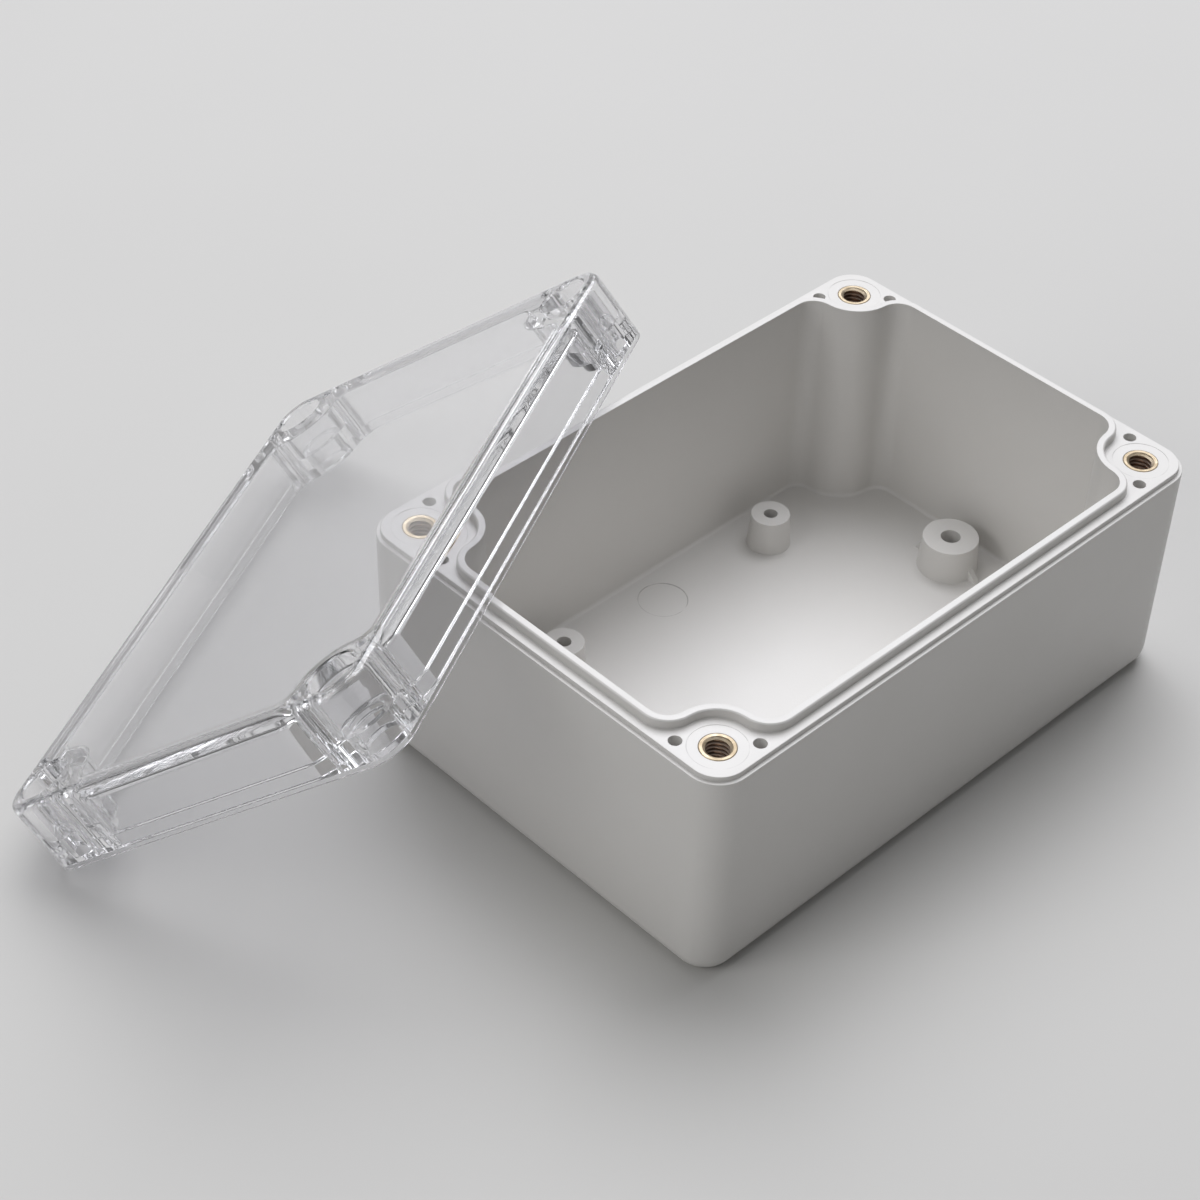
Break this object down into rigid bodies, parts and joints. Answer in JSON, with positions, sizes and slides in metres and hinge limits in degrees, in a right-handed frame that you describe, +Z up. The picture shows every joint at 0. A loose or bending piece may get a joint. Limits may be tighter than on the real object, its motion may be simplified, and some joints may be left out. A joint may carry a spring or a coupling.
{
  "type": "project box with clear lid",
  "caption": "Rectangular plastic project box with a raised sealing lip, corner bosses with threaded inserts, board posts and a clear screw-on lid leaning on it.",
  "frame": {"origin": "centre of the box's underside, on the surface that it stands on", "axes": "+X along the box's long side, +Y along its short side towards the leaning lid, +Z up"},
  "size_m": [0.1542, 0.1266, 0.0506],
  "materials": {
    "box_plastic": "fine-textured moulded ABS",
    "lid_plastic": "polished clear polycarbonate",
    "insert_brass": "turned brass"
  },
  "bodies": {
    "root": {"box": "box_plastic", "clear_lid": "lid_plastic", "insert_front_left": "insert_brass", "insert_front_right": "insert_brass", "insert_rear_left": "insert_brass", "insert_rear_right": "insert_brass"}
  },
  "joints": []
}
